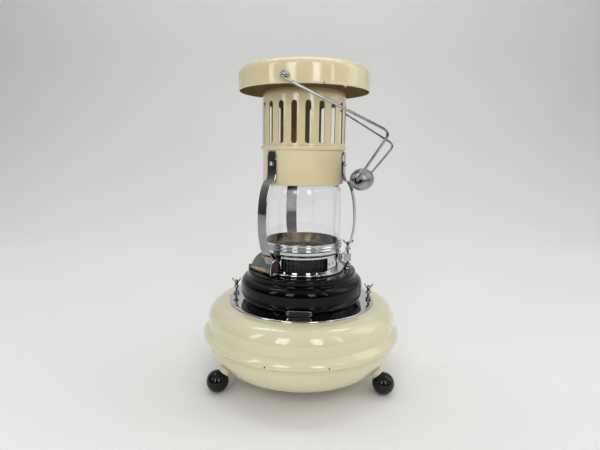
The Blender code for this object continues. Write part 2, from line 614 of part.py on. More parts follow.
def make_latch():
    low, high, bore = HOUSING_TOP_Z + GAP, 177 * MM, 3.4 * MM
    post = [(bore, high), (4.8 * MM, high), (5.6 * MM, low), (bore, low)]
    turned("latch_post", post, STEEL, SMALL, latch_frame())
    place = latch_frame()
    bracket = box("latch_bracket", (-5.0 * MM, -7 * MM, 181 * MM), (4.5 * MM, 5 * MM, 182.6 * MM), STEEL, place)
    web = box("latch_web", (-6.5 * MM, -6.9 * MM, 181.2 * MM), (4.4 * MM, -5.4 * MM, 193 * MM), None, place)
    combine(bracket, web, "UNION")
    combine(bracket, rod("latch_bore", 2.5 * MM, 170 * MM, 190 * MM, None, place), "DIFFERENCE")
    thumbscrew("latch_screw", place, 173 * MM, 213 * MM, 1.9 * MM, 12.0 * MM, 8.2 * MM)


def thumbscrew(name, place, low, high, shank_r, wing_drop, spread):
    """A shank with a collar under two wings that spread upwards."""
    neck = high - wing_drop
    shank = [(0, high - 3 * MM), (2.2 * MM, high - 3 * MM), (2.6 * MM, neck), (4.2 * MM, neck - 1 * MM)]
    shank += [(4.2 * MM, neck - 2.6 * MM), (shank_r, neck - 3 * MM), (shank_r, low), (0, low)]
    made = turned(name, shank, STEEL, SMALL, place)
    wing = [(1.2 * MM, 2 * MM), (3 * MM, 6 * MM), (spread, wing_drop - 1.8 * MM), (spread, wing_drop)]
    wing += [(spread / 2, wing_drop - 1.5 * MM)]
    outline = wing + [(-x, y) for x, y in reversed(wing)]
    upright = place @ Matrix.Translation((0, 0, neck)) @ Matrix.Rotation(math.radians(90), 4, "X")
    combine(made, plate(name + "_wing", outline, 1.6 * MM, None, upright), "UNION")
    return made


def make_disc_screws():
    for name, angle in SCREW_ANGLES.items():
        place = frame_at(radial(angle, SCREW_R), (1, 0, 0), (0, 0, 1))
        low, high = DISC_TOP_Z + GAP, 147 * MM
        made = thumbscrew(name, place, low, high, 2.0 * MM, 12.5 * MM, 7.0 * MM)
        nut = [(0, low + 4 * MM), (3.6 * MM, low + 4 * MM), (4.4 * MM, low), (0, low)]
        combine(made, turned(name + "_nut", nut, None, SMALL, place), "UNION")


# Bail


def bail_frame():
    """X along the arms, Y up and Z along the pivot axis to the near side."""
    near = radial(270 - BAIL_TURN, 1)
    along = radial(-BAIL_TURN, 1)
    return frame_at(Vector((0, 0, BAIL_Z)), along, near)


def turned_point(point, angle):
    turn = math.radians(angle)
    x, y = point
    return (x * math.cos(turn) - y * math.sin(turn), x * math.sin(turn) + y * math.cos(turn))


def rounded(points, radius, steps=4):
    """The points of a path, with each corner inside it replaced by a smooth bend."""
    path = [Vector(points[0])]
    for before, corner, after in zip(points, points[1:], points[2:]):
        before, corner, after = Vector(before), Vector(corner), Vector(after)
        start = corner + (before - corner).normalized() * radius
        end = corner + (after - corner).normalized() * radius
        for i in range(steps + 1):
            t = i / steps
            path.append(start * (1 - t) ** 2 + corner * 2 * t * (1 - t) + end * t**2)
    path.append(Vector(points[-1]))
    return path


def bail_side(side):
    """The wire of one side, from its eye to the end of its arm. side is 1 near and -1 far."""
    twist = 0.0 if side > 0 else -BAIL_TWIST
    eye_r = 3.9 * MM
    slope = math.degrees(math.atan2(BAIL_CORNER[1], BAIL_CORNER[0]))
    leave = slope - 90
    eye = [(eye_r * math.cos(math.radians(a)), eye_r * math.sin(math.radians(a)))
           for a in (leave - 262 + 262 * i / 11 for i in range(12))]
    flat = [turned_point(point, twist) for point in eye + [BAIL_CORNER, BAIL_END]]
    return [Vector((x, y, side * BAIL_HALF)) for x, y in flat]


def grip_ends():
    return bail_side(1)[-1], bail_side(-1)[-1]


def make_bail():
    near, far = bail_side(1), bail_side(-1)
    near_path = rounded(near[11:], 10 * MM)
    far_path = rounded(far[11:], 10 * MM)
    across = rounded([near_path[-2], near[-1], far[-1], far_path[-2]], 7 * MM)
    points = near[:11] + near_path[:-1] + across[1:-1] + far_path[-2::-1] + far[10::-1]
    wire("bail_wire", points, WIRE_R, STEEL, bail_frame())
    for name, side in (("bail_rivet_near", 1), ("bail_rivet_far", -1)):
        stud = [(0, 103 * MM), (2.6 * MM, 102.8 * MM), (3.4 * MM, 102.2 * MM), (3.4 * MM, 101.5 * MM)]
        stud += [(2 * MM, 101.5 * MM), (2 * MM, CAP_R + GAP), (0, CAP_R + GAP)]
        out = radial(270 - BAIL_TURN, side)
        turned(name, stud, STEEL, SMALL, frame_at(Vector((0, 0, BAIL_Z)), (0, 0, 1), out))


def make_grip():
    """A close-wound barrel of wire, round the bar between the arms."""
    near, far = grip_ends()
    middle = (near + far) / 2
    half = (near - far).length / 2 - 11 * MM
    end_r, wall, bore = 5.0 * MM, 2.4 * MM, 2.4 * MM
    outer = []
    steps = 8
    for i in range(steps + 1):
        along = math.cos(math.pi * i / steps)
        outer.append((end_r + (GRIP_R - end_r) * (1 - along**2) ** 0.5, half * along))
    inner = [(max(bore, r - wall), z * 0.97) for r, z in reversed(outer)]
    local = frame_at(middle, (1, 0, 0), near - far)
    turned("coil_grip", outer + inner, STEEL, 16, bail_frame() @ local)


make_tank()
make_filler()
make_feet()
make_housing()
make_gallery()
make_burner()
make_wick()
make_wick_knob()
make_glass()
make_casing()
make_cap()
make_straps()
make_cage_band()
make_hinge()
make_hinge_lugs()
make_latch()
make_disc_screws()
make_bail()
make_grip()
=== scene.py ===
"""Looks for the wick-type paraffin heater: finely turned enamel, plating, glass, wound wire and small
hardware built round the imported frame. Outlines and offsets are in millimetres, in the row frame."""

import math
from bisect import bisect_left
from itertools import accumulate

import bmesh
import bpy
from mathutils import Matrix, Vector


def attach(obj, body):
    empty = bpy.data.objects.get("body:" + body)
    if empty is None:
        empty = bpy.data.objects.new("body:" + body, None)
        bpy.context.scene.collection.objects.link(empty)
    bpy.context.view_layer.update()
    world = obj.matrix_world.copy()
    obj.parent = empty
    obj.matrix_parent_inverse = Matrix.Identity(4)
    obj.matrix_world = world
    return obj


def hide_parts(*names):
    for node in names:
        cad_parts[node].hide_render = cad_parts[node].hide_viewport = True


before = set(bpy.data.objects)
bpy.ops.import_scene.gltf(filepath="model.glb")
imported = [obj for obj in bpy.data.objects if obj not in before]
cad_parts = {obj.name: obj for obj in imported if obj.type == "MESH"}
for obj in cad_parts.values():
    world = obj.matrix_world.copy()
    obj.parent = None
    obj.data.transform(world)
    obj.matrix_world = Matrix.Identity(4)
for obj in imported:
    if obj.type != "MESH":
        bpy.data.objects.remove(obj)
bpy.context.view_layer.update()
MM = 0.001
FINE = 168
UP = Vector((0, 0, 1))

# Dimensions shared by several pieces, as in the CAD part. Angles run from the right, seen from above.
FRONT = 270.0
SHOULDER_CENTRE, SHOULDER_RADIUS, TANK_WALL = (118, 95.8), 24, 1.2
FOOT_ANGLES, FOOT_RING, BALL_HEIGHT, BALL_RADIUS = (90.0, 210.0, 330.0), 138, 15.5, 16
BADGE_ANGLE, FILLER_ANGLE, LATCH_ANGLE = 268.0, 130.0, -3.0
HINGE_ANGLE, LEAF_MIDDLE = 218.0, 11.5
CASING_SLOTS = 20
STRAP_WIDTH = 18.0
STRAPS = {"back": (104.0, 61.2), "left": (224.0, 66.2), "right": (344.0, 61.2)}  # angle, radius at the foot
PIVOT_ANGLE, PIVOT_HEIGHT = 255.0, 438
BAIL_HALF, BAIL_CORNER, BAIL_END, EYE_STEPS = 99.4, (132.5, -70.0), (94.5, -128.5), 22

# Shader sockets and settings that every material shares
MIX_A, MIX_B, MIX_RESULT = 6, 7, 2
TINT_RANGE = (0.45, 0.75)
CHIP_COLOUR = (0.03, 0.018, 0.01)


# Materials


def link(tree, source, out, target, into):
    tree.links.new(source.outputs[out], target.inputs[into])


def settle(node, values):
    for socket, value in values.items():
        node.inputs[socket].default_value = value


def noise_node(tree, source, scale, detail):
    """Noise over the vector that source gives."""
    made = tree.nodes.new("ShaderNodeTexNoise")
    settle(made, {"Scale": scale, "Detail": detail})
    link(tree, source, "Vector", made, "Vector")
    return made


def math_node(tree, operation, second=0.0):
    made = tree.nodes.new("ShaderNodeMath")
    made.operation = operation
    made.inputs[1].default_value = second
    return made


def chipped(tree, colour, where, ragged, spots):
    """The colour socket with small ragged chips over it, each (x, y, z, radius) in millimetres."""
    for x, y, z, radius in spots:
        away = tree.nodes.new("ShaderNodeVectorMath")
        away.operation = "DISTANCE"
        away.inputs[1].default_value = (x * MM, y * MM, z * MM)
        link(tree, where, "Object", away, 0)
        edge = math_node(tree, "MULTIPLY", 2.0 * radius * MM)
        link(tree, ragged, "Fac", edge, 0)
        inside = math_node(tree, "LESS_THAN")
        link(tree, away, "Value", inside, 0)
        link(tree, edge, "Value", inside, 1)
        mix = tree.nodes.new("ShaderNodeMix")
        mix.data_type = "RGBA"
        mix.inputs[MIX_B].default_value = (*CHIP_COLOUR, 1.0)
        link(tree, inside, "Value", mix, 0)
        tree.links.new(colour, mix.inputs[MIX_A])
        colour = mix.outputs[MIX_RESULT]
    return colour


def finish(name, colour, rough, metal=0.0, coat=0.0, *, tint, tint_scale=12.0, grain=900.0, bump=0.05,
           stretch=(1.0, 1.0, 1.0), swing=0.06, shine=0.5, spots=()):
    """A shader whose colour drifts to a tint, whose gloss varies, and whose grain stands up a little."""
    made = bpy.data.materials.new(name)
    made.use_nodes = True
    tree = made.node_tree
    shader = tree.nodes["Principled BSDF"]
    settle(shader, {"Metallic": metal, "Coat Weight": coat, "Specular IOR Level": shine, "Coat Roughness": 0.04})
    where = tree.nodes.new("ShaderNodeTexCoord")
    spread = tree.nodes.new("ShaderNodeMapping")
    spread.inputs["Scale"].default_value = stretch
    link(tree, where, "Object", spread, "Vector")
    ramp = tree.nodes.new("ShaderNodeValToRGB")
    for stop, at, shade in zip(ramp.color_ramp.elements, TINT_RANGE, (colour, tint)):
        stop.position = at
        stop.color = (*shade, 1.0)
    link(tree, noise_node(tree, spread, tint_scale, 5.0), "Fac", ramp, "Fac")
    painted = ramp.outputs["Color"]
    if spots:
        painted = chipped(tree, painted, where, noise_node(tree, spread, 700.0, 3.0), spots)
    tree.links.new(painted, shader.inputs["Base Color"])
    gloss = tree.nodes.new("ShaderNodeMapRange")
    settle(gloss, {"From Min": 0.3, "From Max": 0.7, "To Min": max(rough - swing, 0.02), "To Max": rough + swing})
    link(tree, noise_node(tree, spread, 55.0, 4.0), "Fac", gloss, "Value")
    link(tree, gloss, "Result", shader, "Roughness")
    relief = tree.nodes.new("ShaderNodeBump")
    settle(relief, {"Strength": bump, "Distance": 0.0003})
    link(tree, noise_node(tree, spread, grain, 3.0), "Fac", relief, "Height")
    link(tree, relief, "Normal", shader, "Normal")
    return made


CHIPS = [(-46, -142.6, 74, 1.3), (35.7, -145.3, 74.5, 1.1), (141.0, -9.0, 97, 1.5), (141.6, -6.0, 94.5, 1.2),
         (72, -118, 92, 0.9), (-94.5, 4, 434, 1.0), (24, -91.5, 429.5, 1.0), (-28, -59.6, 298.5, 0.9)]
CREAM = finish("cream_enamel", (0.76, 0.665, 0.405), 0.16, coat=0.6, tint=(0.70, 0.60, 0.34), tint_scale=9.0,
               grain=260.0, bump=0.035, swing=0.05, spots=CHIPS)
TANK = finish("tank_enamel", (0.77, 0.715, 0.485), 0.15, coat=0.6, tint=(0.72, 0.655, 0.42), tint_scale=8.0,
              grain=260.0, bump=0.03, swing=0.05, spots=CHIPS)
# Painted shade: this dark olive-brown enamel on the cap's underside, the casing's inside and the cap stays stands in
# for the shade that falls there.
SHADE_ENAMEL = finish("painted_shade_enamel", (0.34, 0.265, 0.13), 0.32, tint=(0.22, 0.165, 0.075), tint_scale=20.0,
                  grain=500.0, bump=0.12)
BLACK = finish("black_enamel", (0.0015, 0.0015, 0.002), 0.06, tint=(0.004, 0.004, 0.0045), tint_scale=16.0,
               grain=300.0, bump=0.03, swing=0.02, shine=0.2)
PHENOLIC = finish("black_phenolic", (0.002, 0.002, 0.002), 0.09, tint=(0.006, 0.005, 0.005), grain=700.0,
                  bump=0.03, swing=0.04, shine=0.35)
CHROME = finish("bright_plating", (0.60, 0.61, 0.63), 0.05, metal=1.0, tint=(0.52, 0.53, 0.55), tint_scale=18.0,
                grain=420.0, bump=0.02, stretch=(1.0, 1.0, 3.0), swing=0.04)
SATIN = finish("worn_plating", (0.36, 0.365, 0.37), 0.07, metal=1.0, tint=(0.22, 0.218, 0.212), tint_scale=45.0,
               grain=500.0, bump=0.02, swing=0.04)
STEEL = finish("dull_steel", (0.36, 0.365, 0.37), 0.09, metal=1.0, tint=(0.14, 0.137, 0.13), tint_scale=70.0,
               grain=900.0, bump=0.03, swing=0.05)
BRASS = finish("aged_brass", (0.62, 0.44, 0.19), 0.26, metal=1.0, tint=(0.34, 0.22, 0.09), tint_scale=40.0,
               grain=1100.0, bump=0.08, swing=0.08)
HOT_STEEL = finish("heat_tinted_steel", (0.42, 0.30, 0.15), 0.3, metal=1.0, tint=(0.12, 0.085, 0.06),
                   tint_scale=38.0, grain=900.0, bump=0.15, swing=0.1)
SOOTED = finish("sooted_steel", (0.05, 0.047, 0.045), 0.5, metal=0.8, tint=(0.02, 0.018, 0.017), tint_scale=50.0,
                grain=1200.0, bump=0.25, swing=0.1)
COTTON = finish("wick_cotton", (0.62, 0.56, 0.44), 0.9, tint=(0.18, 0.13, 0.08), tint_scale=30.0, grain=1500.0,
                bump=0.8, stretch=(1.0, 1.0, 3.0), swing=0.05)
OXIDE = finish("red_oxide", (0.05, 0.010, 0.008), 0.36, tint=(0.022, 0.006, 0.005), tint_scale=90.0, grain=1200.0,
               bump=0.2)
FIELD = finish("badge_field", (0.02, 0.02, 0.021), 0.3, metal=0.4, tint=(0.05, 0.05, 0.052), tint_scale=300.0,
               grain=2200.0, bump=0.5)
GLASS = finish("clear_glass", (1.0, 1.0, 1.0), 0.03, tint=(0.975, 0.99, 0.985), tint_scale=14.0, grain=22.0,
               bump=0.02, swing=0.01)
GLASS.node_tree.nodes["Principled BSDF"].inputs["Transmission Weight"].default_value = 1.0
GLASS.node_tree.nodes["Principled BSDF"].inputs["IOR"].default_value = 1.45
PAPER = finish("pale_floor", (0.84, 0.842, 0.835), 0.75, tint=(0.815, 0.817, 0.81), tint_scale=1.5, grain=260.0,
               bump=0.06)


# Shaping


def frame_at(origin, x_axis, z_axis):
    """A matrix with its origin at a point, its Z along z_axis and its X as near x_axis as it can be."""
    z = Vector(z_axis).normalized()
    y = z.cross(Vector(x_axis)).normalized()
    return Matrix.Translation(origin) @ Matrix((y.cross(z), y, z)).transposed().to_4x4()


def radial(angle, radius, z=0.0):
    turn = math.radians(angle)
    return Vector((radius * math.cos(turn), radius * math.sin(turn), z))


def arc(centre, radii, start, end, steps=12):
    turns = [math.radians(start + (end - start) * i / steps) for i in range(steps + 1)]
    return [(centre[0] + radii[0] * math.cos(t), centre[1] + radii[1] * math.sin(t)) for t in turns]


def rectangle(x0, x1, y0, y1):
    return [(x0, y0), (x1, y0), (x1, y1), (x0, y1)]


def rounded_box(x0, x1, y0, y1, corner):
    centres = ((x1 - corner, y1 - corner), (x0 + corner, y1 - corner), (x0 + corner, y0 + corner),
               (x1 - corner, y0 + corner))
    return [point for number, centre in enumerate(centres)
            for point in arc(centre, (corner, corner), 90 * number, 90 * number + 90, 5)]


def mirrored(half):
    """A closed outline from its right half, which runs from bottom to top or from top to bottom."""
    return half + [(-x, y) for x, y in reversed(half)]


def flowing(points, between=6):
    """A smooth line through all the points."""
    line = [Vector(p) for p in points]
    padded = [line[0] * 2 - line[1]] + line + [line[-1] * 2 - line[-2]]
    made = []
    for a, b, c, d in zip(padded, padded[1:], padded[2:], padded[3:]):
        for i in range(between):
            t = i / between
            made.append(0.5 * (2 * b + (c - a) * t + (2 * a - 5 * b + 4 * c - d) * t * t
                               + (3 * b - a - 3 * c + d) * t ** 3))
    return [tuple(p) for p in made + [line[-1]]]


def shaded(mesh, sharp=34.0):
    mesh.polygons.foreach_set("use_smooth", [True] * len(mesh.polygons))
    mesh.set_sharp_from_angle(angle=math.radians(sharp))
    return mesh


def made_object(name, points, faces, looks, place=None, kinds=None):
    mesh = bpy.data.meshes.new(name)
    mesh.from_pydata(points, [], faces)
    for look in looks:
        mesh.materials.append(look)
    if kinds:
        mesh.polygons.foreach_set("material_index", kinds)
    if place is not None:
        mesh.transform(place)
    shape = bmesh.new()
    shape.from_mesh(mesh)
    bmesh.ops.recalc_face_normals(shape, faces=shape.faces)
    shape.to_mesh(mesh)
    shape.free()
    made = bpy.data.objects.new(name, shaded(mesh))
    bpy.context.scene.collection.objects.link(made)
    return made


def lathe(name, outline, look, steps=FINE, sector=None, place=None, second=None, wave=None):
    """Turns an outline of (radius, height) about Z. second is (first outline step, its look), and wave adds
    to the radius by angle."""
    start, end = sector or (0.0, 360.0)
    columns = steps if sector is None else steps + 1
    count = len(outline)
    points, faces, kinds, table = [], [], [], []
    for column in range(columns):
        angle = math.radians(start + (end - start) * column / steps)
        row = []
        for number, (radius, height) in enumerate(outline):
            if radius == 0 and table:
                row.append(table[0][number])
                continue
            swell = radius + (wave(angle, height) if wave else 0.0)
            row.append(len(points))
            points.append((swell * math.cos(angle) * MM, swell * math.sin(angle) * MM, height * MM))
        table.append(row)
    spans = count if outline[0][0] > 0 else count - 1
    for column in range(steps):
        here, there = table[column], table[(column + 1) % columns]
        for number in range(spans):
            after = (number + 1) % count
            quad = [here[number], here[after], there[after], there[number]]
            faces.append(list(dict.fromkeys(quad)))
            kinds.append(1 if second and number >= second[0] else 0)
    if sector is not None:
        faces += [table[0][::-1], table[-1]]
        kinds += [0, 0]
    return made_object(name, points, faces, [look] + ([second[1]] if second else []), place, kinds)


def slab(name, outline, low, high, look, place=None, bevel=0.3):
    """A flat outline in the local XY plane, from low to high along Z, with its edges eased."""
    count = len(outline)
    points = [(x * MM, y * MM, z * MM) for z in (low, high) for x, y in outline]
    faces = [list(range(count)), list(range(count, 2 * count))]
    faces += [[i, (i + 1) % count, count + (i + 1) % count, count + i] for i in range(count)]
    made = made_object(name, points, faces, [look], place)
    if bevel:
        ease = made.modifiers.new("ease", "BEVEL")
        ease.width, ease.segments, ease.limit_method = bevel * MM, 3, "ANGLE"
        ease.angle_limit = math.radians(40)
        baked(made)
    return made


def baked(made):
    """Replaces the object's mesh with what its modifiers make of it."""
    bpy.context.view_layer.update()
    mesh = bpy.data.meshes.new_from_object(made.evaluated_get(bpy.context.evaluated_depsgraph_get()))
    made.modifiers.clear()
    made.data = shaded(mesh)
    return made


def cut(target, *cutters):
    for cutter in cutters:
        step = target.modifiers.new("cut", "BOOLEAN")
        step.object = cutter
    baked(target)
    for cutter in cutters:
        bpy.data.objects.remove(cutter)
    return target


def joined(name, *pieces):
    """One object from several, each keeping its own look."""
    looks = []
    for piece in pieces:
        looks += [m for m in piece.data.materials if m not in looks]
    shape = bmesh.new()
    for piece in pieces:
        first = len(shape.faces)
        shape.from_mesh(piece.data)
        shape.faces.ensure_lookup_table()
        for face in shape.faces[first:]:
            face.material_index = looks.index(piece.data.materials[face.material_index])
    mesh = bpy.data.meshes.new(name)
    shape.to_mesh(mesh)
    shape.free()
    for look in looks:
        mesh.materials.append(look)
    for piece in pieces:
        bpy.data.objects.remove(piece)
    made = bpy.data.objects.new(name, shaded(mesh))
    bpy.context.scene.collection.objects.link(made)
    return made


def wire(name, points, radius, look, place=None, fineness=4):
    """A round wire along points in metres."""
    curve = bpy.data.curves.new(name, "CURVE")
    curve.dimensions = "3D"
    curve.bevel_depth = radius * MM
    curve.bevel_resolution = fineness
    curve.use_fill_caps = True
    spline = curve.splines.new("POLY")
    spline.points.add(len(points) - 1)
    for point, co in zip(spline.points, points):
        point.co = (*co, 1.0)
    guide = bpy.data.objects.new(name + "_guide", curve)
    bpy.context.scene.collection.objects.link(guide)
    bpy.context.view_layer.update()
    mesh = bpy.data.meshes.new_from_object(guide.evaluated_get(bpy.context.evaluated_depsgraph_get()))
    bpy.data.objects.remove(guide)
    mesh.materials.clear()
    mesh.materials.append(look)
    if place is not None:
        mesh.transform(place)
    made = bpy.data.objects.new(name, shaded(mesh, 60.0))
    bpy.context.scene.collection.objects.link(made)
    return made


def bore(name, angle, height, radius, near, far, look, steps):
    """A rod pointing out from the object's axis, to cut a round hole."""
    place = frame_at(Vector((0, 0, height * MM)), (0, 0, 1), radial(angle, 1))
    return lathe(name, [(0, far), (radius, far), (radius, near), (0, near)], look, steps, place=place)


def coil(at, turns, per_turn):
    """Points of a winding about Z, in metres. at gives the radius and height in millimetres at a share of the way."""
    made = []
    for i in range(turns * per_turn + 1):
        radius, height = at(i / (turns * per_turn))
        turn = 2 * math.pi * i / per_turn
        made.append(Vector((radius * math.cos(turn), radius * math.sin(turn), height)) * MM)
    return made


def dome_head(name, radius, height, look, place, slot_deep=0.0):
    """A domed screw or rivet head, with a screwdriver slot where slot_deep is given."""
    outline = [(0, height)] + arc((0, height * 0.25), (radius, height * 0.75), 84, 0, 8) + [(radius, 0), (0, 0)]
    head = lathe(name, outline, look, 36, place=place)
    if slot_deep:
        across = rectangle(-radius * 1.3, radius * 1.3, -0.35, 0.35)
        cut(head, slab(name + "_tool", across, height - slot_deep, height + 2, look, place, 0))
    return head


def fit(piece, body, slot, *nodes):
    """Puts the piece on its body, in place of the CAD nodes that it stands for. The slot argument is not used."""
    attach(piece, body)
    if nodes:
        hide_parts(*nodes)
    return piece


def keep(node, look):
    """Gives a CAD node that stays in view its better material."""
    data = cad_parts[node].data
    data.materials.clear()
    data.materials.append(look)


# Tank, feet, burner housing and burner


def make_tank():
    bowl = arc((90, 62), (52, 42), 0, -90, 28)
    lower = [(142, 77)] + bowl + [(58, 20), (54, 21.2), (50, 21.4), (40.3, 21.4), (40.3, 22.6), (50, 22.6)]
    lower += arc((90, 62), (50.8, 40.8), -90, 0, 20) + [(140.8, 77)]
    fit(lathe("tank_bowl", lower, TANK), "base", "cream_enamel", "tank_lower")
    outside, inside = ((radius, radius) for radius in (SHOULDER_RADIUS, SHOULDER_RADIUS - TANK_WALL))
    upper = [(52, 119.8), (100, 119.8)] + arc(SHOULDER_CENTRE, outside, 90, 0, 22)[1:] + [(142, 77), (140.8, 77)]
    upper += arc(SHOULDER_CENTRE, inside, 0, 90, 16) + [(52, 118.6)]
    fit(lathe("tank_shoulder", upper, TANK), "base", "cream_enamel", "tank_upper")
    band = [(142, 85.4)] + flowing([(142.7, 84.8), (144.2, 83.2), (146.6, 80.6), (148.8, 77.9), (149.8, 75.2),
                                    (149.7, 72.6), (148.6, 70.8), (146.6, 69.9)], 5) + [(143.6, 69.5), (142, 68.9)]
    fit(lathe("rolled_seam", band, TANK), "base", "cream_enamel", "seam_band")


def make_feet():
    ball = [(0, BALL_HEIGHT + BALL_RADIUS)] + arc((0, BALL_HEIGHT), (BALL_RADIUS, BALL_RADIUS), 84, -74, 26)
    ball += [(3.6, 0), (0, 0)]
    collar = [(0, 30), (15, 30)] + flowing([(15.0, 28.5), (11.6, 24.5), (9.3, 20), (8.2, 16), (8.4, 13.6)], 5)
    collar += [(8.0, 12.6), (0, 12.6)]
    lean = math.radians(48)
    for number, angle in enumerate(FOOT_ANGLES, 1):
        at = Matrix.Translation(radial(angle, FOOT_RING * MM))
        fit(lathe(f"ball_foot_{number}", ball, PHENOLIC, 64, place=at), "base", "black_knobs", f"foot_ball_{number}")
        inwards_up = radial(angle, -math.cos(lean), math.sin(lean))
        place = frame_at(radial(angle, FOOT_RING * MM, BALL_HEIGHT * MM), (0, 0, 1), inwards_up)
        fit(lathe(f"splayed_neck_{number}", collar, TANK, 56, place=place), "base", "cream_enamel",
            f"foot_neck_{number}")


def make_housing():
    disc = [(52, 121.9), (105.5, 121.9)] + arc((109.2, 120.9), (1.3, 1.3), 80, -60, 8) + [(108.5, 120.1), (52, 120.1)]
    fit(lathe("reflector_disc", disc, CHROME), "base", "bright_plating", "burner_disc")
    outer = [(54.8, 168.5), (79.0, 168.5)] + arc((79.4, 165.9), (2.6, 2.6), 85, 0, 8)
    outer += [(82.0, 160.6), (82.3, 159.6)]
    outer += flowing([(82.9, 158.9), (85.2, 158.1), (88.6, 156.0), (91.2, 152.4), (92.3, 147.6), (92.5, 142.0),
                      (92.4, 137.0), (91.8, 132.4), (90.2, 128.0), (87.6, 124.6), (86.0, 122.2)], 5)
    inner = [(84.4, 122.2), (88.8, 129), (91.0, 137), (90.8, 147), (87.4, 154.6), (80.5, 158), (80.5, 165.6),
             (79, 167), (54.8, 167)]
    fit(lathe("housing_shell", outer + inner, BLACK, 200), "base", "black_enamel", "burner_housing")


def make_badge():
    """A blank lozenge with a stud at each end."""
    lean = frame_at(radial(BADGE_ANGLE, 93.2, 127.0) * MM, (1, 0, 0), radial(BADGE_ANGLE, 1.0, -0.35))
    rim, field = (mirrored(arc((13.0, 0), (radius, radius), -90, 90, 14)) for radius in (4.6, 3.7))
    plate = slab("badge_back", rim, -0.5, 0.5, CHROME, lean, 0.25)
    face = slab("badge_face", field, 0.3, 0.62, FIELD, lean, 0.1)
    stud = [(0, 1.05)] + arc((0, 0.6), (0.75, 0.45), 70, 0, 4) + [(0, 0.6)]
    studs = [lathe(f"badge_stud_{i}", stud, CHROME, 16, place=lean @ Matrix.Translation((x * MM, 0, 0)))
             for i, x in enumerate((-14.6, 14.6))]
    fit(joined("badge", plate, face, *studs), "base", "bright_plating", "badge_plate")


def make_gallery():
    flange = [(54.8, 172), (61.6, 172)] + arc((62.6, 170.6), (1.8, 1.4), 85, -40, 9) + [(63.8, 168.8), (54.8, 168.8)]
    fit(lathe("gallery_ring", flange, CHROME), "base", "bright_plating", "gallery_flange")
    wall = [(55.0, 195.3), (55.8, 195.3), (56.2, 194.9), (56.2, 190), (56.2, 177), (56.2, 172.3), (55.0, 172.3),
            (55.0, 177), (55.0, 190)]
    ring = lathe("gallery_wall_shell", wall, CHROME, 200)
    facing = frame_at(Vector((0, 0, 0)), (1, 0, 0), (0, -1, 0))
    cutters = [slab("window_tool", rounded_box(-30, 37, 173.3, 192.8, 2.2), 15, 75, CHROME, facing, 0)]
    for number, (angle, height) in enumerate(((314.4, 183.4), (323.0, 184.6), (223.0, 184.0))):
        cutters.append(bore(f"hole_tool_{number}", angle, height, 1.4, 45, 70, CHROME, 20))
    fit(cut(ring, *cutters), "base", "bright_plating", "gallery_wall")
    band = [(58.4, 195.3), (59.1, 195.3), (59.4, 195.0), (59.4, 183.8), (59.1, 183.5), (58.4, 183.5)]
    fit(lathe("rear_band", band, CHROME, 150, sector=(-24, 192)), "cage", "bright_plating", "cage_band")


def make_burner():
    drum = [(47.7, 198), (48.2, 198), (48.2, 190), (48.2, 180), (48.2, 171.8), (47.7, 171.8), (47.7, 180), (47.7, 190)]
    ribs = lathe("ribbed_drum", drum, SOOTED, 384, wave=lambda angle, z: 0.55 * math.sin(48 * angle))
    holes = []
    for row, height in enumerate((176.4, 181.0, 185.6, 190.2)):
        for number in range(15):
            angle = FRONT + (number - 7) * 7.5 + (3.75 if row % 2 else 0)
            holes.append(bore("bore_tool", angle, height, 1.05, 45, 52, SOOTED, 10))
    fit(cut(ribs, joined("bore_tools", *holes)), "base", "dull_steel", "flame_drum")
    body = [(45.6, 171.5), (53.4, 171.5), (54.2, 170.8), (54.2, 122.2), (52.8, 122.2), (52.8, 170), (45.6, 170)]
    fit(lathe("burner_shell", body, BRASS, 120), "base", "brass", "burner_body")
    dome = [(0, 198)] + flowing([(6, 198), (20, 197.8), (31, 197.1), (36, 195.2), (38.0, 191.2), (38.2, 186)], 5)
    dome += [(38.2, 160), (37.0, 160), (37.0, 190), (32, 195.8), (0, 196.6)]
    fit(lathe("spreader_dome", dome, HOT_STEEL, 120), "base", "dull_steel", "flame_spreader")
    for node, look in (("draught_tube", BRASS), ("wick_tube", BRASS), ("wick_carrier", BRASS), ("wick_rack", BRASS),
                       ("pinion", BRASS), ("wick", COTTON), ("hinge_lug", STEEL), ("knob_shaft", BRASS)):
        keep(node, look)


# Cage: glass, casing, cap and straps


def make_glass():
    cup = [(57.9, 213.2)] + arc((58.8, 212.9), (0.9, 0.7), 150, 0, 8) + flowing(
        [(59.5, 212.0), (59.0, 210.6), (59.7, 209.3), (60.25, 208.4), (59.7, 207.4), (59.05, 206.5), (59.7, 205.6),
         (60.25, 204.6), (59.7, 203.6), (59.1, 202.2), (59.0, 200.4), (58.8, 198.8), (57.6, 197.2), (54.5, 196.4),
         (49.6, 195.8)], 5)
    turn = len(cup)
    cup += [(49.6, 197.0), (54.5, 198.3), (57.9, 198.3)]
    fit(lathe("glass_cup", cup, CHROME, second=(turn, HOT_STEEL)), "cage", "bright_plating", "glass_seat")
    outer = [(50.0, 311.7), (50.2, 311.2), (50.2, 302)] + flowing(
        [(50.25, 299.4), (51.6, 297.6), (54.0, 294.6), (56.3, 290.4), (57.4, 286.0), (57.6, 281.0)], 6)
    outer += [(57.6, 240), (57.6, 199.4), (57.1, 198.9), (55.9, 198.9), (55.4, 199.4), (55.4, 240)]
    outer += flowing([(55.4, 281.0), (55.2, 286.0), (54.2, 290.0), (52.2, 293.4), (49.8, 296.2), (48.2, 298.8)], 6)
    outer += [(48.2, 302), (48.2, 311.2), (48.5, 311.7)]
    fit(lathe("chimney", outer, GLASS, 200), "cage", "glass", "glass_chimney")


